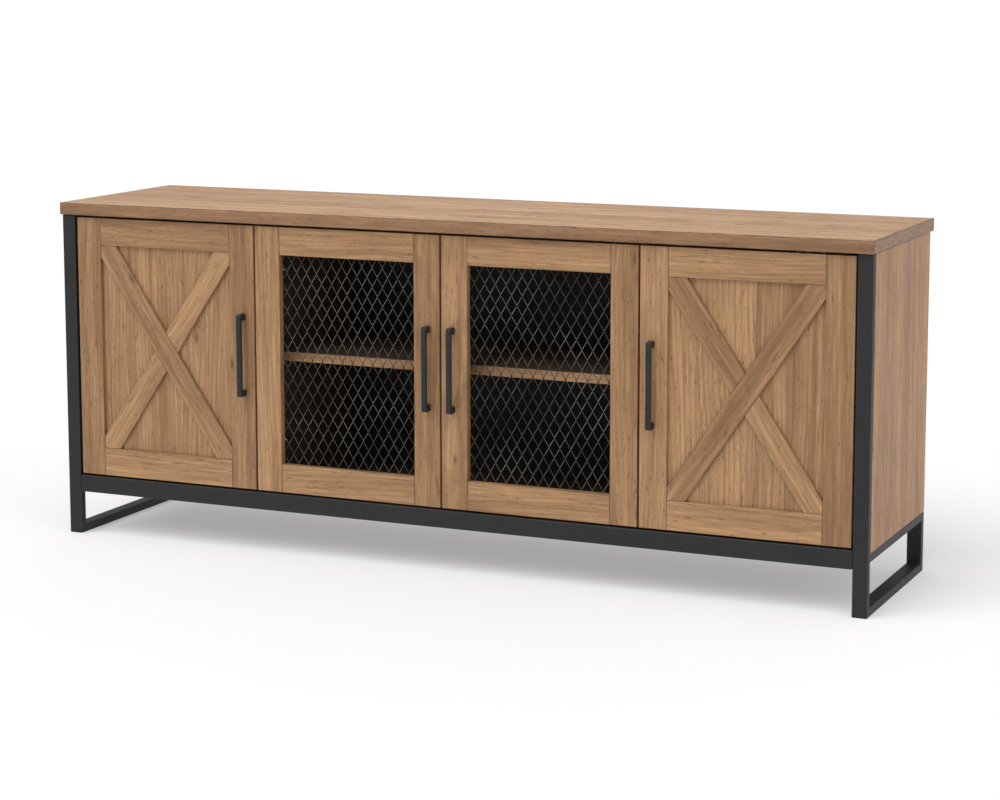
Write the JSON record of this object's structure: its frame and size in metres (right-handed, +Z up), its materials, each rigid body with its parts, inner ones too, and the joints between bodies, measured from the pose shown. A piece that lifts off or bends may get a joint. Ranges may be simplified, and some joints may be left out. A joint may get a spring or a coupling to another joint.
{
  "type": "tv stand with doors",
  "caption": "Low wooden cabinet in a black steel frame, with braced outer doors and metal mesh centre doors over shelves.",
  "frame": {"origin": "on the floor, midway across the width and midway between the fronts of the handles and the back edge of the top", "axes": "+X to the right seen from the front, along the length; +Y from the doors to the back; +Z up"},
  "size_m": [1.651, 0.4172, 0.665],
  "materials": {
    "oak": "satin brown oak with an open grain",
    "oak_top": "satin brown oak, long grain along the top",
    "black_steel": "satin black powder coat",
    "mesh_steel": "dark bronze-black expanded metal",
    "black_board": "thin black-faced hardboard",
    "hinge_metal": "nickel-plated pressed steel"
  },
  "bodies": {
    "cabinet": {"left_side_frame": "black_steel", "right_side_frame": "black_steel", "front_rail": "black_steel", "rear_rail": "black_steel", "top_panel": "oak_top", "left_side_panel": "oak", "right_side_panel": "oak", "left_divider": "oak", "right_divider": "oak", "bottom_panel": "oak", "left_shelf": "oak", "centre_shelf": "oak", "right_shelf": "oak", "back_panel": "black_board", "left_outer_door_lower_hinge_arm": "hinge_metal", "left_outer_door_upper_hinge_arm": "hinge_metal", "left_centre_door_lower_hinge_arm": "hinge_metal", "left_centre_door_upper_hinge_arm": "hinge_metal", "right_centre_door_lower_hinge_arm": "hinge_metal", "right_centre_door_upper_hinge_arm": "hinge_metal", "right_outer_door_lower_hinge_arm": "hinge_metal", "right_outer_door_upper_hinge_arm": "hinge_metal"},
    "left_outer_door": {"left_outer_door_hinge_stile": "oak", "left_outer_door_handle_stile": "oak", "left_outer_door_top_rail": "oak", "left_outer_door_bottom_rail": "oak", "left_outer_door_panel": "oak", "left_outer_door_long_brace": "oak", "left_outer_door_upper_short_brace": "oak", "left_outer_door_lower_short_brace": "oak", "left_outer_door_handle": "black_steel", "left_outer_door_lower_hinge_cup": "hinge_metal", "left_outer_door_upper_hinge_cup": "hinge_metal"},
    "left_centre_door": {"left_centre_door_hinge_stile": "oak", "left_centre_door_handle_stile": "oak", "left_centre_door_top_rail": "oak", "left_centre_door_bottom_rail": "oak", "left_centre_door_mesh": "mesh_steel", "left_centre_door_handle": "black_steel", "left_centre_door_lower_hinge_cup": "hinge_metal", "left_centre_door_upper_hinge_cup": "hinge_metal"},
    "right_centre_door": {"right_centre_door_hinge_stile": "oak", "right_centre_door_handle_stile": "oak", "right_centre_door_top_rail": "oak", "right_centre_door_bottom_rail": "oak", "right_centre_door_mesh": "mesh_steel", "right_centre_door_handle": "black_steel", "right_centre_door_lower_hinge_cup": "hinge_metal", "right_centre_door_upper_hinge_cup": "hinge_metal"},
    "right_outer_door": {"right_outer_door_hinge_stile": "oak", "right_outer_door_handle_stile": "oak", "right_outer_door_top_rail": "oak", "right_outer_door_bottom_rail": "oak", "right_outer_door_panel": "oak", "right_outer_door_long_brace": "oak", "right_outer_door_upper_short_brace": "oak", "right_outer_door_lower_short_brace": "oak", "right_outer_door_handle": "black_steel", "right_outer_door_lower_hinge_cup": "hinge_metal", "right_outer_door_upper_hinge_cup": "hinge_metal"}
  },
  "joints": [
    {"name": "left_outer_door_hinge", "type": "hinge", "parent": "cabinet", "child": "left_outer_door", "pos_m": [-0.788, -0.1846, 0.3795], "axis": [0, 0, -1], "range_deg": [0, 95]},
    {"name": "left_centre_door_hinge", "type": "hinge", "parent": "cabinet", "child": "left_centre_door", "pos_m": [-0.38775, -0.1846, 0.3795], "axis": [0, 0, -1], "range_deg": [0, 95]},
    {"name": "right_centre_door_hinge", "type": "hinge", "parent": "cabinet", "child": "right_centre_door", "pos_m": [0.38775, -0.1846, 0.3795], "axis": [0, 0, 1], "range_deg": [0, 95]},
    {"name": "right_outer_door_hinge", "type": "hinge", "parent": "cabinet", "child": "right_outer_door", "pos_m": [0.788, -0.1846, 0.3795], "axis": [0, 0, 1], "range_deg": [0, 95]}
  ]
}
